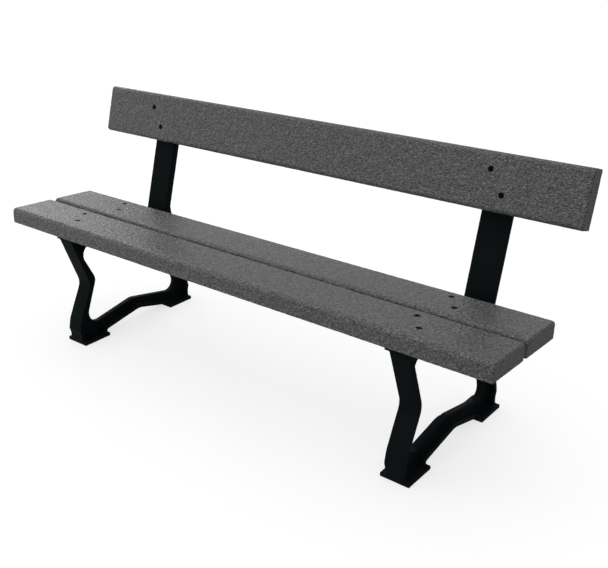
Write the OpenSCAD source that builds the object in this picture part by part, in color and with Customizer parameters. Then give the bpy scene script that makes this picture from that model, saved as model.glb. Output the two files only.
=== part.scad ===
// Park bench with a backrest: three thick boards bolted to two cast legs.
// Millimetres, +Z up. The origin is on the ground in the middle of the bench's
// footprint: +X runs along the boards and -Y is the side that people sit from.
// Side views are drawn in stations: [distance behind the seat's front edge, height].

/* [Boards] */
// Length of the three boards, and so of the bench
board_l = 1800; // [1500:50:2200]
// Width of each board
board_w = 158; // [150:1:162]
// Thickness of each board
board_t = 51; // [44:1:53]
// Radius of the long edges on a board's outer face
edge_r = 9; // [2:1:12]
// Radius of the long edges on a board's inner face, towards the legs
back_edge_r = 3; // [1:1:5]
// Gap between the two seat boards
seat_gap = 14; // [10:1:20]

/* [Posture] */
// Height of the seat's front edge above the ground
seat_h = 437; // [430:1:445]
// Backward slope of the seat in degrees
seat_tilt = 3; // [2:0.1:4]
// Backward lean of the backrest in degrees
back_lean = 16; // [12:0.5:18]
// Distance from the seat's front edge to the post, along the bearer
post_y = 412; // [408:1:420]
// Distance up the post from the bearer to the backrest's lower edge
back_rise = 256; // [220:4:280]

/* [Legs] */
// Distance between the middles of the two legs
leg_span = 1288; // [1000:2:1400]
// Width of the bearer, the post and the foot plates
plate_w = 91; // [88:1:96]
// Thickness of the bearer plate and the post plate
plate_t = 15; // [12:1:16]
// Width of the flange round the outside of a leg
flange_w = 60; // [50:1:66]
// Thickness of that flange
flange_t = 14; // [8:1:15]
// Thickness of the rib that joins the flange to the plates
rib_t = 20; // [14:1:20]
// Depth of the rib and the plate together under the seat
bearer_d = 44; // [40:1:48]
// Depth of the rib and the plate together behind the backrest
post_d = 60; // [50:1:62]
// Depth of the rib and the plate together at the top of the post
post_top_d = 34; // [28:1:50]
// Length of the post, up from the bearer
post_l = 392; // [390:1:400]
// Front-to-back length of a foot plate
foot_l = 107; // [98:1:109]
// Thickness of a foot plate
foot_t = 12; // [10:1:14]

/* [Fasteners] */
// Diameter of the bolts
bolt_d = 8; // [7:0.5:8.5]
// Length of a bolt under its head
bolt_l = 75; // [75:1:80]
// Distance of each pair's middle outwards from the leg's middle
bolt_out = 3; // [0:1:3]
// Distance of each bolt from the middle of its pair, along the bench
bolt_dx = 22; // [22:0.5:24]
// Distance of each bolt from the middle of its pair, across the board
bolt_dy = 31.5; // [25:0.5:35]
// Diameter of a ground-anchor hole in a foot plate
anchor_d = 11; // [9:1:12]

/* [Hidden] */

$fn = 48;
board_colour = [0.35, 0.35, 0.36];
iron_colour = [0.07, 0.08, 0.08];
bolt_colour = [0.12, 0.12, 0.13];
steel_colour = [0.55, 0.56, 0.58];

arc_steps = 8;           // straight pieces in one rounded corner
eps = 1;                 // how far a cut runs past the face that it opens

// Bolt parts, all from the bolt's own diameter
head_d = 1.75 * bolt_d;
head_h = 0.55 * bolt_d;
socket_af = 0.625 * bolt_d;
socket_h = 0.3 * bolt_d;
hole_d = bolt_d + 1;
recess_d = 2 * bolt_d;
recess_h = head_h + 0.6;
washer_d = 2 * bolt_d;
washer_t = 0.2 * bolt_d;
nut_af = 1.625 * bolt_d;
nut_h = bolt_d;
thread_gap = 0.2;        // nut and washer bores are this much wider than the bolt
washer_bore = bolt_d + 0.4;

// Stations where the seat and the back start
bearer_h = seat_h - board_t * cos(seat_tilt);
seat_pitch = board_w + seat_gap;
back_dir = [sin(back_lean), cos(back_lean)];
back_out = [-cos(back_lean), sin(back_lean)];
seat_dir = [cos(seat_tilt), -sin(seat_tilt)];
seat_up = [sin(seat_tilt), cos(seat_tilt)];
seat_origin = [0, bearer_h];
post_root = seat_origin + post_y * seat_dir;

// Middle of each pair of bolts, measured across the boards
front_bolts_u = 89;
rear_bolts_u = seat_pitch + front_bolts_u;
back_bolts_u = back_rise + board_w / 2;

// ---- Side-view outlines ----

// Unit vector from point a to point b
function heading(a, b) = (b - a) / norm(b - a);

// Vector v turned by angle a
function turned(v, a) = [v.x * cos(a) - v.y * sin(a), v.x * sin(a) + v.y * cos(a)];

// First two numbers of a path corner [station, height, radius]
function spot(c) = [c.x, c.y];

// The arc that rounds corner b between its neighbours a and c
function corner_arc(a, b, c) =
    b.z == 0 ? [spot(b)] :
    let (
        u = heading(spot(b), spot(a)),
        v = heading(spot(b), spot(c)),
        half = acos(u * v) / 2,
        start = u * b.z / tan(half),
        middle = heading([0, 0], u + v) * b.z / sin(half),
        sweep = (180 - 2 * half) * sign(cross(start - middle, v * b.z / tan(half) - middle))
    )
    [for (i = [0:arc_steps]) spot(b) + middle + turned(start - middle, sweep * i / arc_steps)];

// An open path of [station, height, radius] corners with its corners rounded
function rounded(path) = [
    for (i = [0:len(path) - 1])
        each i == 0 || i == len(path) - 1
            ? [spot(path[i])]
            : corner_arc(path[i - 1], path[i], path[i + 1])
];

// A closed path with every corner rounded
function rounded_loop(path) =
    let (n = len(path))
    [for (i = [0:n - 1]) each corner_arc(path[(i + n - 1) % n], path[i], path[(i + 1) % n])];

// Left-hand normal of the stretch from corner a to corner b
function normal_of(a, b) = turned(heading(spot(a), spot(b)), 90);

// The path moved to its left by a distance, with radii that keep it parallel
function parallel(path, gap) = [
    for (i = [0:len(path) - 1])
        let (
            last = len(path) - 1,
            before = normal_of(path[max(i - 1, 0)], path[max(i, 1)]),
            after = normal_of(path[min(i, last - 1)], path[min(i + 1, last)]),
            shift = (before + after) * gap / (1 + before * after),
            bend = sign(cross(before, after))
        )
        [path[i].x + shift.x, path[i].y + shift.y, max(path[i].z - bend * gap, 0)]
];

function backwards(list) = [for (i = [len(list) - 1:-1:0]) list[i]];

// A strip between a path and the same path moved to its left
function strip(path, gap) = concat(rounded(path), backwards(rounded(parallel(path, gap))));

// A point on the seat's underside plane, u along the bearer and v above it
function on_seat(u, v) = seat_origin + u * seat_dir + v * seat_up;

// A point on the post's front plane, u up the post and v in front of it
function on_post(u, v) = post_root + u * back_dir + v * back_out;

// A section of one board: u across it and v out of its inner face
board_section = rounded_loop([
    [0, 0, back_edge_r], [board_w, 0, back_edge_r],
    [board_w, board_t, edge_r], [0, board_t, edge_r]
]);

// Front leg, as path corners from the ground up. The rear leg repeats it, turned
// about the middle of the leg.
leg_mid = 266.5;
toe = [16, 0, 0];
ankle = [16, 33, 6];
instep = [11, 50, 15];
shin = [18.5, 84, 100];
knee = [76, 201, 45];
front_end = 18;
front_top = on_seat(front_end, -plate_t);
front_path = [toe, ankle, instep, shin, knee, [front_top.x, front_top.y, 0]];

function mirrored(c) = [2 * leg_mid - c.x, c.y, c.z];

// Inside corner between the bearer plate and the post plate
corner_r = 6;

// Back of the rear leg and of the post, which grows thinner behind the backrest
heel_r = 60;
heel_u = 25;
taper_u = back_rise + 15;
heel_top = on_post(heel_u, -post_d);
taper_start = on_post(taper_u, -post_d);
post_top = on_post(post_l, -post_top_d);
rear_path = [
    each [for (c = [toe, ankle, instep, shin, knee]) mirrored(c)],
    [heel_top.x, heel_top.y, heel_r],
    [taper_start.x, taper_start.y, heel_r],
    [post_top.x, post_top.y, 0]
];

// Underside of the stretcher, a flat-sided arch from foot to foot
front_foot_end = 125;
rear_foot_end = 410;
arch_path = [
    [front_foot_end, 0, 0],
    [front_foot_end, 18, 5],
    [275, 46.5, 70],
    [384, 19, 60],
    [rear_foot_end, 7, 3],
    [rear_foot_end, 0, 0]
];

// Opening inside the leg, from the stretcher's top round by the rear leg and the bearer
opening_r = 35;
opening_rear = on_seat(430, -bearer_d);
opening_front = on_seat(54, -bearer_d);
opening_loop = [
    [47.5, 41.5, 38],
    [265, 83, 40],
    [486, 40, 32],
    [426, 206, 50],
    [opening_rear.x, opening_rear.y, opening_r],
    [opening_front.x, opening_front.y, opening_r],
    [115, 210, opening_r]
];

// Height over which the rear flange narrows to the rib
flange_taper = 70;

// Ground-anchor holes, from the rib's middle and from the seat's front edge
anchor_dx = 27;
anchor_y = toe.x + foot_l / 2;

// Side views of the bent plate that carries the boards, and of the whole leg
plate_front = on_seat(front_end, 0);
plate_top = on_post(post_l, 0);
plate_path = [
    [plate_front.x, plate_front.y, 0],
    [post_root.x, post_root.y, corner_r],
    [plate_top.x, plate_top.y, 0]
];
leg_silhouette = concat(rounded(front_path), rounded(plate_path), backwards(rounded(rear_path)));

// Middle of the bench's footprint in stations
front_y = min([for (p = board_section) on_seat(p.x, p.y).x]);
rear_y = max([for (p = leg_silhouette) p.x]);
mid_y = (front_y + rear_y) / 2;

// ---- Placing ----

// Extrudes a side-view shape along the bench, centred on x
module across(width, x = 0) {
    translate([x - width / 2, -mid_y, 0]) rotate([90, 0, 90]) linear_extrude(width) children();
}

// Puts a part on the seat: x along the bench, u back from the front edge, z off the boards
module seat_place(x, u, v = 0) {
    p = on_seat(u, v);
    translate([x, p.x - mid_y, p.y]) rotate([-seat_tilt, 0, 0]) children();
}

// Puts a part on the backrest: x along the bench, u up the post, z out of the board
module back_place(x, u, v = 0) {
    p = on_post(u, v);
    translate([x, p.x - mid_y, p.y]) rotate([90 - back_lean, 0, 0]) children();
}

// The two bolts of one joint lie on a slant across the board
module pair(side, u, on_back = false) {
    for (way = [-1, 1]) {
        x = side * (leg_span / 2 + bolt_out) + way * bolt_dx;
        if (on_back) back_place(x, u - way * bolt_dy) children();
        else seat_place(x, u - way * bolt_dy) children();
    }
}

// ---- Boards ----

module seat_board(start, bolts_u) {
    color(board_colour) difference() {
        across(board_l) polygon([for (p = board_section) on_seat(start + p.x, p.y)]);
        for (side = [-1, 1]) pair(side, bolts_u) bolt_space();
    }
}

module backrest_board() {
    color(board_colour) difference() {
        across(board_l) polygon([for (p = board_section) on_post(back_rise + p.x, p.y)]);
        for (side = [-1, 1]) pair(side, back_bolts_u, true) bolt_space();
    }
}

// Clearance hole and head recess, from below the plate to above the board
module bolt_space() {
    translate([0, 0, -plate_t - eps]) cylinder(h = plate_t + board_t + 2 * eps, d = hole_d);
    translate([0, 0, board_t - recess_h]) cylinder(h = recess_h + eps, d = recess_d);
}

// ---- Legs ----

module leg(side) {
    x = side * leg_span / 2;
    color(iron_colour) difference() {
        union() {
            leg_rib(x);
            leg_flanges(x);
            across(plate_w, x) polygon(strip(plate_path, -plate_t));
            foot_plate(x, toe.x);
            foot_plate(x, 2 * leg_mid - toe.x - foot_l);
        }
        pair(side, front_bolts_u) bolt_space();
        pair(side, rear_bolts_u) bolt_space();
        pair(side, back_bolts_u, true) bolt_space();
        anchor_holes(x);
    }
}

// The rib fills the leg's side view, between the opening and the arch
module leg_rib(x) {
    difference() {
        across(rib_t, x) polygon(leg_silhouette);
        across(rib_t + 2 * eps, x) polygon(rounded_loop(opening_loop));
        across(rib_t + 2 * eps, x) polygon(arch_cut());
    }
}

// The arch, opened downwards past the ground
function arch_cut() = concat([[front_foot_end, -eps]], rounded(arch_path), [[rear_foot_end, -eps]]);

module leg_flanges(x) {
    across(flange_w, x) polygon(strip(front_path, -flange_t));
    across(flange_w, x) polygon(strip(arch_path, flange_t));
    rear_flange(x);
}

// The rear flange narrows to the rib where the post begins
module rear_flange(x) {
    full_to = heel_top.y - flange_taper;
    intersection() {
        across(flange_w, x) polygon(strip(rear_path, flange_t));
        translate([x, 0, 0]) rotate([90, 0, 0]) linear_extrude(4 * leg_mid, center = true) polygon([
            [-flange_w / 2, 0], [flange_w / 2, 0], [flange_w / 2, full_to],
            [rib_t / 2, heel_top.y], [-rib_t / 2, heel_top.y], [-flange_w / 2, full_to]
        ]);
    }
}

module foot_plate(x, y) {
    translate([x - plate_w / 2, y - mid_y, 0]) cube([plate_w, foot_l, foot_t]);
}

// One hole in each foot plate on either side of the rib
module anchor_holes(x) {
    for (way = [-1, 1], y = [anchor_y, 2 * leg_mid - anchor_y])
        translate([x + way * anchor_dx, y - mid_y, -eps]) cylinder(h = foot_t + 2 * eps, d = anchor_d);
}

// ---- Fasteners, each drawn on the plate's outer face with +Z out of the board ----

module bolt() {
    color(bolt_colour) translate([0, 0, board_t - recess_h]) difference() {
        union() {
            translate([0, 0, -bolt_l]) cylinder(h = bolt_l + head_h / 2, d = bolt_d);
            bolt_head();
        }
        translate([0, 0, head_h - socket_h]) cylinder(h = socket_h + eps, d = socket_af / cos(30), $fn = 6);
    }
}

// Button head: a flat seat, a short side and a low dome
module bolt_head() {
    side_h = 0.15 * head_d / 2;
    crown_r = 0.55 * head_d / 2;
    rise = head_h - side_h;
    rotate_extrude() polygon([
        [0, 0], [head_d / 2, 0], [head_d / 2, side_h],
        for (a = [15:15:75]) [crown_r + (head_d / 2 - crown_r) * cos(a), side_h + rise * sin(a)],
        [crown_r, head_h], [0, head_h]
    ]);
}

module washer() {
    color(steel_colour) translate([0, 0, -plate_t - washer_t]) difference() {
        cylinder(h = washer_t, d = washer_d);
        translate([0, 0, -eps]) cylinder(h = washer_t + 2 * eps, d = washer_bore);
    }
}

module nut() {
    color(steel_colour) translate([0, 0, -plate_t - washer_t - nut_h]) difference() {
        intersection() {
            cylinder(h = nut_h, d = nut_af / cos(30), $fn = 6);
            nut_blank();
        }
        translate([0, 0, -eps]) cylinder(h = nut_h + 2 * eps, d = bolt_d + thread_gap);
    }
}

// Turned outline of a locking nut: chamfered seat, and a collar at the free end
module nut_blank() {
    full_r = nut_af / cos(30) / 2;
    collar_r = 0.45 * nut_af;
    collar_h = 0.2 * nut_h;
    chamfer = full_r - nut_af / 2;
    rotate_extrude() polygon([
        [0, 0], [collar_r, 0], [collar_r, collar_h], [full_r - chamfer, collar_h],
        [full_r, collar_h + chamfer], [full_r, nut_h - chamfer],
        [full_r - chamfer, nut_h], [0, nut_h]
    ]);
}

seat_board(0, front_bolts_u);  // seat_board_front
seat_board(seat_pitch, rear_bolts_u);  // seat_board_rear
backrest_board();
leg(-1);  // leg_left
leg(1);  // leg_right
pair(-1, front_bolts_u) bolt();  // bolts_front_left
pair(-1, front_bolts_u) washer();  // washers_front_left
pair(-1, front_bolts_u) nut();  // nuts_front_left
pair(1, front_bolts_u) bolt();  // bolts_front_right
pair(1, front_bolts_u) washer();  // washers_front_right
pair(1, front_bolts_u) nut();  // nuts_front_right
pair(-1, rear_bolts_u) bolt();  // bolts_rear_left
pair(-1, rear_bolts_u) washer();  // washers_rear_left
pair(-1, rear_bolts_u) nut();  // nuts_rear_left
pair(1, rear_bolts_u) bolt();  // bolts_rear_right
pair(1, rear_bolts_u) washer();  // washers_rear_right
pair(1, rear_bolts_u) nut();  // nuts_rear_right
pair(-1, back_bolts_u, true) bolt();  // bolts_back_left
pair(-1, back_bolts_u, true) washer();  // washers_back_left
pair(-1, back_bolts_u, true) nut();  // nuts_back_left
pair(1, back_bolts_u, true) bolt();  // bolts_back_right
pair(1, back_bolts_u, true) washer();  // washers_back_right
pair(1, back_bolts_u, true) nut();  // nuts_back_right
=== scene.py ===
import math

import bmesh
import bpy
import numpy as np
from mathutils import Matrix, Vector, noise


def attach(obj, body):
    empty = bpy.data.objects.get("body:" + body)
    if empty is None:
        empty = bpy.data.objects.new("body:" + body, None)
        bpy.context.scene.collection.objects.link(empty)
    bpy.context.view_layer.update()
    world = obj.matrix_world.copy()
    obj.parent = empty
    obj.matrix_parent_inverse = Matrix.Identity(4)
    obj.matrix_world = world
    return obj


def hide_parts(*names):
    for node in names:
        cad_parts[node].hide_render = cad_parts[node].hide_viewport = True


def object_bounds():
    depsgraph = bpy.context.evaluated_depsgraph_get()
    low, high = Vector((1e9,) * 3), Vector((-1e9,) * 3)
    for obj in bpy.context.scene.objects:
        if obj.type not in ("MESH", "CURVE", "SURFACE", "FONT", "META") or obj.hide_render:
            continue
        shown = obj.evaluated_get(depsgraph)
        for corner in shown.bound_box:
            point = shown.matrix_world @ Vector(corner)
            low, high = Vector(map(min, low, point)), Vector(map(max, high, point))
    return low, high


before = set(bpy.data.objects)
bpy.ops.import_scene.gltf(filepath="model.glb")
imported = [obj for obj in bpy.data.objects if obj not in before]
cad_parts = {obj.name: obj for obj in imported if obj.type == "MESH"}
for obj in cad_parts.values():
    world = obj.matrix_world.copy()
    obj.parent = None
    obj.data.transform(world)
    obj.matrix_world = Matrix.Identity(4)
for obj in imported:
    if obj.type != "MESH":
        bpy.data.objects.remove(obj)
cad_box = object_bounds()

# Everything is in metres, in the CAD frame: +X along the boards, -Y towards the sitter, +Z up.
MM = 0.001
SIDES = ("left", "right")
CUT_PAST = 5 * MM          # how far a cutter runs past the face that it opens

# Boards
BOARDS = {"front": "seat_board_front", "rear": "seat_board_rear", "back": "backrest_board"}
FACE_R = 12 * MM           # long edges on the face that people touch
UNDER_R = 3 * MM           # long edges on the face against the legs
LEAST_R = 0.4 * MM         # radius that the long edges never go below, near the board's ends
END_FACE_R = 7 * MM        # edge between an end and the face that people touch
END_SIDE_R = 4 * MM        # edges between an end and the long edges
END_UNDER_R = 3 * MM       # edge between an end and the face against the legs
BOARD_STEP = 2.8 * MM      # spacing of the mesh, fine enough for the grain
FACE_STEPS = 50            # steps across the face that people touch
SIDE_STEPS = 12            # steps across each long edge
UNDER_STEPS = 16           # steps across the face against the legs
ARC_POINTS = 7             # points along each rounded edge
END_DISH = 0.5 * MM        # how far an end face sinks in its middle
DISH_REACH = 8 * MM        # width of the slope round an end face's sunk middle
END_CORE = 1 * MM          # least half-thickness of the flat patch in the middle of an end face
FACE_SINK = 0.35 * MM      # how far the wide faces sink between their edges
PATTERN_SHIFT = 10         # metres of noise between one board's pattern and the next one's

# Moulded unevenness of the boards. A rate is in waves to the metre, for X, Y and Z.
NOISE_SEED = 1             # without a seed, noise_vector starts from the clock
WAVE = 0.3 * MM            # height of the slow waves
WAVE_RATE = (3, 12, 12)
GRAIN = 0.3 * MM           # height of the grain
WRINKLE_RATE = (60, 110, 110)
WRINKLE_SHARE = 2.4        # depth of the wrinkles as a share of the grain
PEBBLE_RATE = (110, 150, 150)
PEBBLE_SHARE = 0.8         # height of the pebbles as a share of the grain
BEND_RATE = 40
BEND = 0.25                # how far the wrinkles and the pebbles wander, in waves

# Bolts and their recesses
SEGMENTS = 48              # corners in a full turn
RECESS_R = 8 * MM
HOLE_R = 4.5 * MM
LIP_R = 0.6 * MM           # rounded rim of a recess
LIP_POINTS = 5
RIM_WIDE = 3 * LIP_R       # how much wider than the recess its cutter is above the rim
RIM_RISE = 0.3 * MM        # height over which it widens, clear of the grain
HEAD_R = 7 * MM
HEAD_H = 4.4 * MM
HEAD_SIDE = 1.0 * MM       # height of the head's straight side
HEAD_EDGE = 0.3 * MM       # chamfer under the head
CROWN_SHARE = 0.5          # flat middle of the head as a share of its radius
CROWN_POINTS = 9
SOCKET_R = 2.9 * MM
SOCKET_H = 2.4 * MM
SOCKET_PAST = 2 * MM       # how far the socket's cutter runs past the head
SHANK_R = 4 * MM
TIP_H = 0.8 * MM           # chamfered tip, below the thread
TIP_CHAMFER = 0.7 * MM
THREAD_PITCH = 1.25 * MM
THREAD_DEPTH = 0.7 * MM
THREAD_TURNS = 16
STEPS_PER_TURN = 6         # rings of vertices in one pitch of the thread

# Washers
WASHER_R = 8 * MM
WASHER_BORE_R = 4.2 * MM
WASHER_EDGE = 0.25 * MM    # chamfer on every edge

# Nuts. The nylon ring sits in a groove in the collar, at the end away from the washer.
NUT_FLATS = 13 * MM        # distance between opposite flats
BORE_R = 4.15 * MM
BORE_CHAMFER = 0.5 * MM
COLLAR_SHARE = 0.45        # radius of the collar as a share of the flats' distance
COLLAR_H = 1.6 * MM
COLLAR_IN = 0.5 * MM       # width of the chamfer on the collar's end
COLLAR_UP = 0.4 * MM       # height of that chamfer
COLLAR_STEP = 0.05 * MM    # rise from the collar to the flats
CHAMFER_SLOPE = 0.58       # rise of the chamfer at the corners for its width
NYLON_R = 5.4 * MM
NYLON_H = 2 * MM           # depth of the groove that holds the nylon ring
NYLON_INSET = 0.3 * MM     # how far the ring lies inside the groove's mouth, at its rim
NYLON_BORE_INSET = 0.5 * MM    # and at its bore

# Legs
CAST_VOXEL = 1.6 * MM
CAST_TRIANGLES = 180_000
SOFTEN_FACTOR = 0.5
SOFTEN_ROUNDS = 2          # rounds of smoothing, which leave corners of about 2 mm radius
CAST_WAVE = 0.25 * MM      # unevenness of the casting's faces
CAST_RATE = 25             # waves to the metre
CAST_FINE_RATE = 70
CAST_FINE_SHARE = 0.5

# Edges sharper than this, in degrees, stay crisp
CRISP = 35
RING_CRISP = 50            # on washers and nylon rings

# Stage
FLOOR_HALF = 60            # half the floor's width
DOME_TOWARD = (-0.6, -0.15, 0.85)        # the dome's brightest direction
DOME_LEVELS = {"From Min": -0.4, "From Max": 1, "To Min": 0.26, "To Max": 1.05}
WINDOW_AT = (-4.5, 2.3, 1.8)
WINDOW_AIM = (-0.9, 0, 0.4)
WINDOW_SIZE = 0.6
WINDOW_POWER = 11
WINDOW_DIFFUSE = 0.2       # share of its light in matt shading: it is there for the sheen

# Camera, as worked out from the photo. Angles are in degrees.
AZIMUTH = 38.61
ELEVATION = 23.276
ROLL = -0.351
DISTANCE = 2.67
LENS = 51.94
SENSOR = 36
AIM_OFFSET = (0.107, 0.0446, -0.0745)    # from the middle of the CAD box


# ---- Reading the frame ----

def welded(node):
    """A bmesh copy of a CAD node with its split vertices joined."""
    bm = bmesh.new()
    bm.from_mesh(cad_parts[node].data)
    bmesh.ops.remove_doubles(bm, verts=bm.verts, dist=0.001 * MM)
    return bm


def solids(node):
    """The vertices of each separate solid in a CAD node, ordered along X."""
    bm = welded(node)
    left = set(bm.verts)
    found = []
    while left:
        group, frontier = set(), [left.pop()]
        while frontier:
            vert = frontier.pop()
            group.add(vert)
            for edge in vert.link_edges:
                other = edge.other_vert(vert)
                if other in left:
                    left.discard(other)
                    frontier.append(other)
        found.append(np.array([v.co for v in group]))
    bm.free()
    return sorted(found, key=lambda points: points[:, 0].mean())


def board_axes(node):
    """Unit vectors of a board as columns: along it, across it, and out of its outer face."""
    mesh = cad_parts[node].data
    sitter = Vector((0, -1, 1))
    facing = [p for p in mesh.polygons if p.normal.dot(sitter) > 0.5]
    total = {}
    for polygon in facing:
        key = tuple(round(c, 3) for c in polygon.normal)
        total[key] = total.get(key, 0) + polygon.area
    out = Vector(max(total, key=total.get)).normalized()
    along = Vector((1, 0, 0))
    across = out.cross(along)
    return np.array([along, across, out]).T


def extent(points, axes):
    """Lowest and highest local coordinates of some points."""
    local = points @ axes
    return local.min(0), local.max(0)


def each_solid(kind, which, side):
    """(axes, centre, lowest, highest) of each fastener in a CAD node, in its board's axes."""
    axes = board_axes(BOARDS[which])
    for points in solids(f"{kind}_{which}_{side}"):
        low, high = extent(points, axes)
        yield axes, np.array([*(low + high)[:2] / 2, 0]), low[2], high[2]


# ---- Mesh helpers ----

def add_piece(name, bm, node):
    """Makes a finished piece from a bmesh, which stands for a CAD node."""
    mesh = bpy.data.meshes.new(name)
    bmesh.ops.recalc_face_normals(bm, faces=bm.faces)
    bm.to_mesh(mesh)
    bm.free()
    piece = bpy.data.objects.new(name, mesh)
    bpy.context.collection.objects.link(piece)
    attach(piece, "root")
    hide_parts(node)
    return piece


def apply_modifiers(piece):
    """Replaces the piece's mesh with its evaluated mesh."""
    graph = bpy.context.evaluated_depsgraph_get()
    mesh = bpy.data.meshes.new_from_object(piece.evaluated_get(graph))
    piece.modifiers.clear()
    old = piece.data
    piece.data = mesh
    bpy.data.meshes.remove(old)


def coat(piece, *materials):
    """Gives a piece its materials. Only the faces that a cutter left can have the second one."""
    marked = [min(polygon.material_index, len(materials) - 1) for polygon in piece.data.polygons]
    piece.data.materials.clear()
    for material in materials:
        piece.data.materials.append(material)
    piece.data.polygons.foreach_set("material_index", marked)


def smooth(piece, angle=180):
    """Smooth shading, with edges sharper than the angle kept crisp."""
    for polygon in piece.data.polygons:
        polygon.use_smooth = True
    if angle < 180:
        piece.data.set_sharp_from_angle(angle=math.radians(angle))


def skin(bm, rings, closed_ends=True):
    """Faces between rings of vertices that have the same length."""
    count = len(rings[0])
    for low, high in zip(rings, rings[1:]):
        for i in range(count):
            j = (i + 1) % count
            bm.faces.new((low[i], low[j], high[j], high[i]))
    if closed_ends:
        bm.faces.new(list(reversed(rings[0])))
        bm.faces.new(rings[-1])


def turned_ring(bm, axes, centre, radii, height):
    """Vertices in a full turn round the board's outward axis, one at each of the radii."""
    ring = []
    for i, radius in enumerate(radii):
        angle = 2 * math.pi * i / len(radii)
        local = centre + np.array([radius * math.cos(angle), radius * math.sin(angle), height])
        ring.append(bm.verts.new(axes @ local))
    return ring


def lathe(bm, profile, axes, centre, segments=SEGMENTS):
    """Turns (radius, height) points into a solid with flat ends."""
    skin(bm, [turned_ring(bm, axes, centre, [radius] * segments, height) for radius, height in profile])


def lathe_bored(bm, outline, axes, centre):
    """Turns a closed outline of (radius, height) points into a solid with a bore."""
    rings = [turned_ring(bm, axes, centre, [radius] * SEGMENTS, height) for radius, height in outline]
    skin(bm, rings + rings[:1], closed_ends=False)


def hexagon(bm, axes, centre, radius, low, high):
    """A straight six-sided prism."""
    lathe(bm, [(radius, low), (radius, high)], axes, centre, segments=6)


def cut(piece, cutter_bm, operation="DIFFERENCE"):
    """Cuts a piece with a bmesh, and marks the new faces for a second material."""
    for face in cutter_bm.faces:
        face.material_index = 1
    mesh = bpy.data.meshes.new("cutter")
    bmesh.ops.recalc_face_normals(cutter_bm, faces=cutter_bm.faces)
    cutter_bm.to_mesh(mesh)
    cutter_bm.free()
    cutter = bpy.data.objects.new("cutter", mesh)
    bpy.context.collection.objects.link(cutter)
    modifier = piece.modifiers.new("Cut", "BOOLEAN")
    modifier.operation = operation
    modifier.solver = "MANIFOLD"
    modifier.object = cutter
    apply_modifiers(piece)
    bpy.data.objects.remove(cutter)
    bpy.data.meshes.remove(mesh)


def quarter(radius, points):
    """(inset, advance) points of a quarter-round edge, from the side to the face."""
    angles = np.linspace(0, math.pi / 2, points)
    return [(radius * (1 - math.cos(a)), radius * math.sin(a)) for a in angles]


def round_off(radius, depth):
    """How far a quarter-round edge lies in from the side, at a depth below the face."""
    return radius - math.sqrt(radius ** 2 - max(radius - depth, 0) ** 2)


# ---- Boards ----

def section(width, thick, face_r, under_r):
    """(across, out) points round a board, with its four long edges rounded.
    Every outline has the same number of points, whatever its size."""
    corners = [
        (width / 2, thick / 2, face_r, 0),
        (-width / 2, thick / 2, face_r, 90),
        (-width / 2, -thick / 2, under_r, 180),
        (width / 2, -thick / 2, under_r, 270),
    ]
    sides = [FACE_STEPS, SIDE_STEPS, UNDER_STEPS, SIDE_STEPS]
    arcs = []
    for u, n, radius, start in corners:
        middle = np.array([u - math.copysign(radius, u), n - math.copysign(radius, n)])
        turns = np.radians(np.linspace(start, start + 90, ARC_POINTS))
        arcs.append([middle + radius * np.array([math.cos(a), math.sin(a)]) for a in turns])
    points = []
    for arc, following, steps in zip(arcs, arcs[1:] + arcs[:1], sides):
        points += arc
        for i in range(1, steps):
            points.append(arc[-1] + (following[0] - arc[-1]) * i / steps)
    return np.array(points)


def board_mesh(size):
    """A plank from end to end, with rounded edges and dished ends, in local coordinates."""
    length, width, thick = size
    end = length / 2

    def ring(x, depth, further=0.0):
        """One outline round the board, at a depth below the end and shrunk a further distance."""
        face, side, under = (round_off(r, depth) + further for r in (END_FACE_R, END_SIDE_R, END_UNDER_R))
        outline = section(width - 2 * side, thick - face - under,
                          max(FACE_R - side, LEAST_R), max(UNDER_R - side, LEAST_R))
        return [bm.verts.new((x, u, n + (under - face) / 2)) for u, n in outline]

    def end_rings(way):
        """Outlines from the straight part of the board to the middle of one end."""
        for advance in np.linspace(0, math.pi / 2, ARC_POINTS):
            depth = END_FACE_R * (1 - math.sin(advance))
            yield ring(way * (end - depth), depth)
        deepest = (thick - END_FACE_R - END_UNDER_R) / 2 - END_CORE
        for further in np.arange(BOARD_STEP, deepest, BOARD_STEP):
            dish = END_DISH * min(1, further / DISH_REACH)
            yield ring(way * (end - dish), 0, further)

    bm = bmesh.new()
    straight = end - END_FACE_R
    count = round(2 * straight / BOARD_STEP)
    rings = list(end_rings(-1))[::-1]
    rings += [ring(-straight + 2 * straight * i / count, END_FACE_R) for i in range(1, count)]
    rings += end_rings(1)
    skin(bm, rings)
    bmesh.ops.recalc_face_normals(bm, faces=bm.faces)
    return bm


def at_rate(point, rate):
    """A point in the noise's own space, for a rate along each axis."""
    return Vector(c * r for c, r in zip(point, rate))


def uneven(bm, shift, width):
    """Gives a moulded board its slow waves, its wrinkled grain and its shallow sink marks."""
    bm.normal_update()
    moves = []
    for vert in bm.verts:
        p = vert.co + Vector((shift, 0, 0))
        wave = noise.noise(at_rate(p, WAVE_RATE))
        bend = BEND * noise.noise_vector(p * BEND_RATE)
        wrinkle = noise.noise(at_rate(p, WRINKLE_RATE) + bend)
        pebble = noise.noise(at_rate(p, PEBBLE_RATE) - bend)
        grain = GRAIN * (1 - WRINKLE_SHARE * abs(wrinkle) + PEBBLE_SHARE * pebble)
        # 1 on the wide faces and 0 once the surface has turned 26 degrees round an edge
        on_face = max(0.0, abs(vert.normal.z) - 0.9) * 10
        sink = FACE_SINK * on_face * (1 - (2 * p.y / width) ** 2)
        moves.append(vert.normal * (WAVE * wave + grain - sink))
    for vert, move in zip(bm.verts, moves):
        vert.co += move


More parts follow.
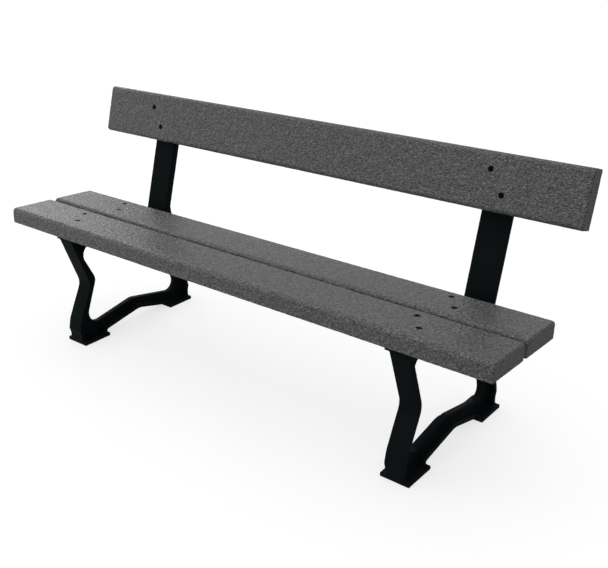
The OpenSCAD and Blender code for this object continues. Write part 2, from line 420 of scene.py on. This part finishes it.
def board(which, shift):
    """One board with its bolt holes."""
    node = BOARDS[which]
    axes = board_axes(node)
    (points,) = solids(node)
    low, high = extent(points, axes)
    size, middle = high - low, (high + low) / 2
    bm = board_mesh(size)
    uneven(bm, shift, size[1])
    placing = Matrix(axes).to_4x4() @ Matrix.Translation(middle)
    bmesh.ops.transform(bm, matrix=placing, verts=bm.verts)
    piece = add_piece(node + "_moulded", bm, node)
    cutter = bmesh.new()
    for side in SIDES:
        for _, centre, _, bolt_top in each_solid("bolts", which, side):
            seat = bolt_top - HEAD_H
            rim = [(RECESS_R + inset, high[2] - LIP_R + advance)
                   for inset, advance in quarter(LIP_R, LIP_POINTS)]
            wide = RECESS_R + RIM_WIDE
            profile = [(HOLE_R, low[2] - CUT_PAST), (HOLE_R, seat), (RECESS_R, seat), *rim,
                       (wide, high[2] + RIM_RISE), (wide, high[2] + CUT_PAST)]
            lathe(cutter, profile, axes, centre)
    cut(piece, cutter)
    smooth(piece, CRISP)
    return piece


# ---- Legs ----

def cast_leg(side):
    """One leg with the soft edges and the fillets of a casting."""
    node = "leg_" + side
    piece = add_piece(node + "_cast", welded(node), node)
    remesh = piece.modifiers.new("Cast", "REMESH")
    remesh.mode = "VOXEL"
    remesh.voxel_size = CAST_VOXEL
    soften = piece.modifiers.new("Soften", "SMOOTH")
    soften.factor = SOFTEN_FACTOR
    soften.iterations = SOFTEN_ROUNDS
    apply_modifiers(piece)
    bm = bmesh.new()
    bm.from_mesh(piece.data)
    for vert in bm.verts:
        p = vert.co
        wave = noise.noise(p * CAST_RATE) + CAST_FINE_SHARE * noise.noise(p * CAST_FINE_RATE)
        vert.co = p + vert.normal * wave * CAST_WAVE
        vert.co.z = max(vert.co.z, 0)
    bm.to_mesh(piece.data)
    bm.free()
    thin = piece.modifiers.new("Thin", "DECIMATE")
    thin.ratio = min(1, CAST_TRIANGLES / (2 * len(piece.data.polygons)))
    apply_modifiers(piece)
    smooth(piece)
    return piece


# ---- Fasteners ----

def thread_radii(height, low, tip, top):
    """The shank's radii in one turn at a height, with a helical groove between tip and top."""
    radii = []
    for i in range(SEGMENTS):
        phase = ((height - low) / THREAD_PITCH - i / SEGMENTS) % 1
        groove = THREAD_DEPTH * (1 - abs(2 * phase - 1)) * (tip <= height <= top)
        radii.append(SHANK_R - groove - (TIP_CHAMFER if height == low else 0))
    return radii


def bolt_mesh(bm, axes, centre, low, high):
    """A button-head bolt whose last turns are a real helix."""
    tip = low + TIP_H
    top = tip + THREAD_TURNS * THREAD_PITCH
    steps = THREAD_TURNS * STEPS_PER_TURN
    heights = [low] + [tip + (top - tip) * i / steps for i in range(steps + 1)] + [top + THREAD_PITCH]
    rings = [turned_ring(bm, axes, centre, thread_radii(h, low, tip, top), h) for h in heights]
    seat = high - HEAD_H
    crown_r = CROWN_SHARE * HEAD_R
    profile = [(SHANK_R, seat), (HEAD_R - HEAD_EDGE, seat), (HEAD_R, seat + HEAD_EDGE)]
    for angle in np.radians(np.linspace(0, 90, CROWN_POINTS)):
        profile.append((crown_r + (HEAD_R - crown_r) * math.cos(angle),
                        seat + HEAD_SIDE + (HEAD_H - HEAD_SIDE) * math.sin(angle)))
    rings += [turned_ring(bm, axes, centre, [radius] * SEGMENTS, height) for radius, height in profile]
    skin(bm, rings)


def bolts(which, side):
    """The bolts of one joint, with their hexagon sockets."""
    node = f"bolts_{which}_{side}"
    bm = bmesh.new()
    cutter = bmesh.new()
    for axes, centre, low, high in each_solid("bolts", which, side):
        bolt_mesh(bm, axes, centre, low, high)
        hexagon(cutter, axes, centre, SOCKET_R, high - SOCKET_H, high + SOCKET_PAST)
    piece = add_piece(node + "_threaded", bm, node)
    cut(piece, cutter)
    smooth(piece, CRISP)
    return piece


def washers(which, side):
    """The plain washers of one joint."""
    node = f"washers_{which}_{side}"
    bm = bmesh.new()
    outer, inner, soft = WASHER_R, WASHER_BORE_R, WASHER_EDGE
    for axes, centre, low, high in each_solid("washers", which, side):
        outline = [(inner, low + soft), (inner + soft, low), (outer - soft, low), (outer, low + soft),
                   (outer, high - soft), (outer - soft, high), (inner + soft, high), (inner, high - soft)]
        lathe_bored(bm, outline, axes, centre)
    piece = add_piece(node + "_turned", bm, node)
    smooth(piece, RING_CRISP)
    return piece


def nuts(which, side):
    """Locking nuts: a chamfered hexagon with a turned collar round the nylon ring's seat."""
    node = f"nuts_{which}_{side}"
    corner = NUT_FLATS / math.sqrt(3)
    collar = COLLAR_SHARE * NUT_FLATS
    slope = CHAMFER_SLOPE * (corner - NUT_FLATS / 2)
    bm = bmesh.new()
    blank = bmesh.new()
    for axes, centre, low, high in each_solid("nuts", which, side):
        hexagon(bm, axes, centre, corner, low, high)
        step = low + COLLAR_H
        outside = [(collar - COLLAR_IN, low), (collar, low + COLLAR_UP), (collar, step),
                   (NUT_FLATS / 2, step + COLLAR_STEP), (corner, step + slope),
                   (corner, high - slope), (NUT_FLATS / 2, high)]
        inside = [(BORE_R + BORE_CHAMFER, high), (BORE_R, high - BORE_CHAMFER), (BORE_R, low + NYLON_H),
                  (NYLON_R, low + NYLON_H), (NYLON_R, low)]
        lathe_bored(blank, outside + inside, axes, centre)
    piece = add_piece(node + "_chamfered", bm, node)
    cut(piece, blank, "INTERSECT")
    smooth(piece, CRISP)
    return piece


def nylon_rings(which, side):
    """The plastic rings that grip the threads inside the locking nuts' collars."""
    node = f"nuts_{which}_{side}"
    bm = bmesh.new()
    for axes, centre, low, _ in each_solid("nuts", which, side):
        outline = [(BORE_R, low + NYLON_BORE_INSET), (NYLON_R, low + NYLON_INSET),
                   (NYLON_R, low + NYLON_H), (BORE_R, low + NYLON_H)]
        lathe_bored(bm, outline, axes, centre)
    piece = add_piece(node + "_nylon", bm, node)
    smooth(piece, RING_CRISP)
    return piece


# ---- Materials ----

class Nodes:
    """A short way to write a node material."""

    def __init__(self, name):
        self.material = bpy.data.materials.new(name)
        self.material.use_nodes = True
        self.tree = self.material.node_tree
        self.shader = self.tree.nodes["Principled BSDF"]
        self.place = self.add("ShaderNodeTexCoord").outputs["Object"]

    def add(self, kind, **settings):
        node = self.tree.nodes.new(kind)
        for key, value in settings.items():
            setattr(node, key, value)
        return node

    def join(self, source, socket):
        self.tree.links.new(source, socket)

    def stretched(self, scale):
        """Object coordinates scaled by a different amount along each axis."""
        node = self.add("ShaderNodeMapping")
        node.inputs["Scale"].default_value = scale
        self.join(self.place, node.inputs["Vector"])
        return node.outputs["Vector"]

    def noise(self, scale, detail=3, roughness=0.55, distortion=0, vector=None):
        """Noise from 0 to 1, with a scale in waves to the metre."""
        node = self.add("ShaderNodeTexNoise")
        node.inputs["Scale"].default_value = scale
        node.inputs["Detail"].default_value = detail
        node.inputs["Roughness"].default_value = roughness
        node.inputs["Distortion"].default_value = distortion
        self.join(vector or self.place, node.inputs["Vector"])
        return node.outputs["Fac"]

    def span(self, value, low, high, to_low=0.0, to_high=1.0):
        """Maps low..high to to_low..to_high, clamped."""
        node = self.add("ShaderNodeMapRange", interpolation_type="SMOOTHSTEP")
        self.join(value, node.inputs["Value"])
        for key, number in (("From Min", low), ("From Max", high), ("To Min", to_low), ("To Max", to_high)):
            node.inputs[key].default_value = number
        return node.outputs["Result"]

    def plus(self, a, b):
        """The sum of two sockets."""
        node = self.add("ShaderNodeMath", operation="ADD")
        self.join(a, node.inputs[0])
        self.join(b, node.inputs[1])
        return node.outputs["Value"]

    def mix(self, factor, a, b):
        """Mixes two colours, each a tuple or a socket."""
        node = self.add("ShaderNodeMix", data_type="RGBA")
        self.join(factor, node.inputs["Factor"])
        for key, value in (("A", a), ("B", b)):
            socket = next(s for s in node.inputs if s.name == key and s.type == "RGBA")
            if isinstance(value, tuple):
                socket.default_value = (*value, 1)
            else:
                self.join(value, socket)
        return next(s for s in node.outputs if s.type == "RGBA")

    def bump(self, height, distance, strength=1.0, under=None):
        """A bump of the given height, on top of another one or of the plain surface."""
        node = self.add("ShaderNodeBump")
        node.inputs["Strength"].default_value = strength
        node.inputs["Distance"].default_value = distance
        self.join(height, node.inputs["Height"])
        if under:
            self.join(under, node.inputs["Normal"])
        return node.outputs["Normal"]

    def edges(self, low, high):
        """1 on convex edges and 0 on flat faces."""
        return self.span(self.add("ShaderNodeNewGeometry").outputs["Pointiness"], low, high)

    def paint(self, colour):
        """Joins the shader's colour to a node."""
        self.join(colour, self.shader.inputs["Base Color"])

    def set(self, **values):
        """Sets the shader's own sockets to a number, or joins them to a node."""
        for key, value in values.items():
            socket = self.shader.inputs[key.replace("_", " ")]
            if isinstance(value, (int, float)):
                socket.default_value = value
            else:
                self.join(value, socket)
        return self.material


def recycled_plastic():
    """Dark grey moulded plastic: a pebbled, wrinkled grain whose raised tops are painted paler as a
    highlight and whose hollows are painted darker, partly dirt and partly shade, with dark flecks and worn
    edges.
    """
    base, paler, warmer = (0.054, 0.055, 0.058), (0.064, 0.064, 0.067), (0.064, 0.065, 0.06)
    # the grain's raised tops painted paler as highlights, and its hollows painted dark, partly dirt and
    # partly shade
    ridge_highlight, grit_and_glint, pit_dirt_and_shade = (0.095, 0.095, 0.097), (0.31, 0.31, 0.31), (0.01, 0.01, 0.011)
    fleck, worn = (0.03, 0.031, 0.033), (0.13, 0.13, 0.132)
    m = Nodes("recycled_plastic")
    along = m.stretched((0.4, 1, 1))
    cloud = m.noise(6, 4, 0.6, vector=along)
    tint = m.noise(3.5, 2, 0.5)
    wrinkle = m.noise(110, 5, 0.65, distortion=1.4, vector=along)
    pebble = m.noise(400, 5, 0.75, distortion=0.5, vector=along)
    speck = m.noise(900, 3, 0.7)
    lump = m.noise(85, 2, 0.6)
    body = m.mix(m.span(cloud, 0.35, 0.65), base, paler)
    body = m.mix(m.span(tint, 0.5, 0.68), body, warmer)
    # painted highlight on the wrinkles' raised ridges, which the bump below raises
    body = m.mix(m.span(wrinkle, 0.46, 0.68), body, ridge_highlight)
    # painted highlight on the pebbles' raised tops, then dirt and painted shade in their hollows
    body = m.mix(m.span(pebble, 0.48, 0.66), body, grit_and_glint)
    body = m.mix(m.span(pebble, 0.5, 0.34), body, pit_dirt_and_shade)
    body = m.mix(m.span(speck, 0.58, 0.72), body, fleck)
    body = m.mix(m.edges(0.53, 0.62), body, worn)
    m.paint(body)
    rough = m.plus(m.span(pebble, 0.3, 0.7, 0.22, 0.36), m.span(cloud, 0.3, 0.7, -0.04, 0.06))
    coarse = m.bump(lump, 4.5 * MM)
    veined = m.bump(wrinkle, 1.5 * MM, under=coarse)
    fine = m.bump(pebble, 0.6 * MM, 0.8, under=veined)
    return m.set(Roughness=rough, Normal=fine, IOR=1.5)


def recess_shade_plastic():
    """Near-black plastic on the walls of the bolt recesses and holes: painted shade, so the recesses round
    the bolt heads read dark.
    """
    # painted shade: two near-black tones mottled together on the recess walls
    deep_shade, paler_shade = (0.006, 0.006, 0.0065), (0.014, 0.014, 0.015)
    m = Nodes("recess_shade_plastic")
    turning = m.noise(900, 3, 0.6, vector=m.stretched((1, 1, 3)))
    shade_mottle = m.noise(200, 3, 0.6)
    m.paint(m.mix(m.span(shade_mottle, 0.35, 0.65), deep_shade, paler_shade))
    rough = m.span(turning, 0.3, 0.7, 0.45, 0.65)
    return m.set(Roughness=rough, Normal=m.bump(turning, 0.1 * MM, 0.5), Specular_IOR_Level=0.2)


def coated_iron():
    """Satin black coating that follows the sand texture of the casting under it."""
    base, paler = (0.005, 0.0078, 0.0088), (0.007, 0.01, 0.011)
    grit_and_glint, worn = (0.012, 0.014, 0.015), (0.014, 0.015, 0.016)
    m = Nodes("coated_iron")
    sand = m.noise(900, 4, 0.65)
    lump = m.noise(160, 3, 0.5)
    patch = m.noise(14, 4, 0.6)
    body = m.mix(m.span(patch, 0.35, 0.65), base, paler)
    body = m.mix(m.span(sand, 0.62, 0.78), body, grit_and_glint)
    body = m.mix(m.edges(0.53, 0.62), body, worn)
    m.paint(body)
    rough = m.plus(m.span(patch, 0.3, 0.7, 0.36, 0.46), m.span(sand, 0.4, 0.7, 0, 0.08))
    soft = m.bump(lump, 0.6 * MM, 0.35)
    fine = m.bump(sand, 0.3 * MM, 0.35, under=soft)
    return m.set(Roughness=rough, Normal=fine, Specular_IOR_Level=0.025)


def blackened_steel():
    """Black bolt finish with fine scratches and rubbed edges."""
    base, paler, rubbed = (0.002, 0.002, 0.0022), (0.0035, 0.0035, 0.0038), (0.012, 0.012, 0.013)
    m = Nodes("blackened_steel")
    scratch = m.noise(1500, 3, 0.7, vector=m.stretched((1, 0.1, 0.1)))
    blot = m.noise(300, 3, 0.6)
    body = m.mix(m.span(blot, 0.4, 0.65), base, paler)
    body = m.mix(m.edges(0.55, 0.68), body, rubbed)
    m.paint(body)
    rough = m.span(blot, 0.3, 0.7, 0.34, 0.5)
    return m.set(Roughness=rough, Normal=m.bump(scratch, 0.05 * MM, 0.4), Specular_IOR_Level=0.08)


def zinc_plate():
    """Bright zinc with a cloudy spangle and dull patches."""
    base, bright, tarnish = (0.42, 0.43, 0.45), (0.6, 0.6, 0.6), (0.3, 0.3, 0.31)
    m = Nodes("zinc_plate")
    spangle = m.noise(500, 4, 0.6, distortion=0.5)
    dull = m.noise(120, 3, 0.6)
    body = m.mix(m.span(spangle, 0.35, 0.65), base, bright)
    body = m.mix(m.span(dull, 0.45, 0.75), body, tarnish)
    m.paint(body)
    rough = m.span(dull, 0.3, 0.7, 0.28, 0.48)
    return m.set(Roughness=rough, Normal=m.bump(spangle, 0.05 * MM, 0.3), Metallic=1.0)


def nylon():
    """Milky nylon with a faint grain and soiled patches."""
    milky, soiled = (0.55, 0.56, 0.58), (0.36, 0.35, 0.33)
    m = Nodes("nylon")
    grain = m.noise(700, 3, 0.6)
    soil = m.noise(180, 3, 0.6)
    m.paint(m.mix(m.span(soil, 0.4, 0.7), milky, soiled))
    rough = m.span(grain, 0.3, 0.7, 0.4, 0.55)
    return m.set(Roughness=rough, Normal=m.bump(grain, 0.05 * MM, 0.3), Subsurface_Weight=0.1)


# ---- Stage ----

def floor():
    """A plain pale floor that reaches past the camera's view. It is left out of the reflections and
    the bounced light, so that it doesn't brighten the sides of the bench."""
    grey, white = (0.42, 0.42, 0.42, 1), (1, 1, 1, 1)
    bm = bmesh.new()
    bmesh.ops.create_grid(bm, x_segments=4, y_segments=4, size=FLOOR_HALF)
    mesh = bpy.data.meshes.new("floor")
    bm.to_mesh(mesh)
    bm.free()
    piece = bpy.data.objects.new("floor", mesh)
    bpy.context.collection.objects.link(piece)
    piece.visible_diffuse = False
    piece.visible_glossy = False
    m = Nodes("pale_floor")
    m.shader.inputs["Base Color"].default_value = grey
    m.shader.inputs["Emission Color"].default_value = white
    piece.data.materials.append(m.set(Roughness=0.9, Specular_IOR_Level=0.1, Emission_Strength=0.7))


def dome():
    """A soft white world, brightest above and on the left. The camera sees it as plain white."""
    world = bpy.data.worlds.new("studio")
    world.use_nodes = True
    tree = world.node_tree
    place = tree.nodes.new("ShaderNodeTexCoord").outputs["Generated"]
    toward = tree.nodes.new("ShaderNodeVectorMath")
    toward.operation = "DOT_PRODUCT"
    toward.inputs[1].default_value = Vector(DOME_TOWARD).normalized()
    tree.links.new(place, toward.inputs[0])
    level = tree.nodes.new("ShaderNodeMapRange")
    for key, number in DOME_LEVELS.items():
        level.inputs[key].default_value = number
    tree.links.new(toward.outputs["Value"], level.inputs["Value"])
    seen = tree.nodes.new("ShaderNodeLightPath").outputs["Is Camera Ray"]
    strength = tree.nodes.new("ShaderNodeMix")
    tree.links.new(seen, strength.inputs["Factor"])
    tree.links.new(level.outputs["Result"], strength.inputs["A"])
    strength.inputs["B"].default_value = 1
    tree.links.new(strength.outputs["Result"], tree.nodes["Background"].inputs["Strength"])
    tree.nodes["Background"].inputs["Color"].default_value = (1, 1, 1, 1)
    bpy.context.scene.world = world


def window():
    """A low window far to the left and behind, mirrored in the seat's left end."""
    lamp = bpy.data.lights.new("window", "AREA")
    lamp.shape = "DISK"
    lamp.size = WINDOW_SIZE
    lamp.energy = WINDOW_POWER
    lamp.diffuse_factor = WINDOW_DIFFUSE
    stand = bpy.data.objects.new("window", lamp)
    stand.location = WINDOW_AT
    stand.rotation_euler = (stand.location - Vector(WINDOW_AIM)).to_track_quat("Z", "Y").to_euler()
    bpy.context.collection.objects.link(stand)


def camera():
    """The camera stands to the right of the bench's front and a little above it."""
    azimuth, elevation, roll = (math.radians(angle) for angle in (AZIMUTH, ELEVATION, ROLL))
    low, high = cad_box
    aim = (low + high) / 2 + Vector(AIM_OFFSET)
    back = Vector((math.sin(azimuth) * math.cos(elevation),
                   -math.cos(azimuth) * math.cos(elevation), math.sin(elevation)))
    data = bpy.data.cameras.new("camera")
    data.lens = LENS
    data.sensor_width = SENSOR
    view = bpy.data.objects.new("camera", data)
    view.location = aim + back * DISTANCE
    turn = back.to_track_quat("Z", "Y").to_matrix() @ Matrix.Rotation(roll, 3, "Z")
    view.rotation_euler = turn.to_euler()
    bpy.context.collection.objects.link(view)
    bpy.context.scene.camera = view


noise.seed_set(NOISE_SEED)
bpy.context.scene.view_settings.view_transform = "Standard"
camera()
dome()
window()
floor()

plastic = recycled_plastic()
shaded_recess = recess_shade_plastic()
iron = coated_iron()
black = blackened_steel()
zinc = zinc_plate()
milky = nylon()
for number, which in enumerate(BOARDS):
    # the second material, on the faces the bolt cutters left, is painted shade for the recesses
    coat(board(which, PATTERN_SHIFT * number), plastic, shaded_recess)
for side in SIDES:
    coat(cast_leg(side), iron)
    for which in BOARDS:
        coat(bolts(which, side), black)
        coat(washers(which, side), zinc)
        coat(nuts(which, side), zinc)
        coat(nylon_rings(which, side), milky)
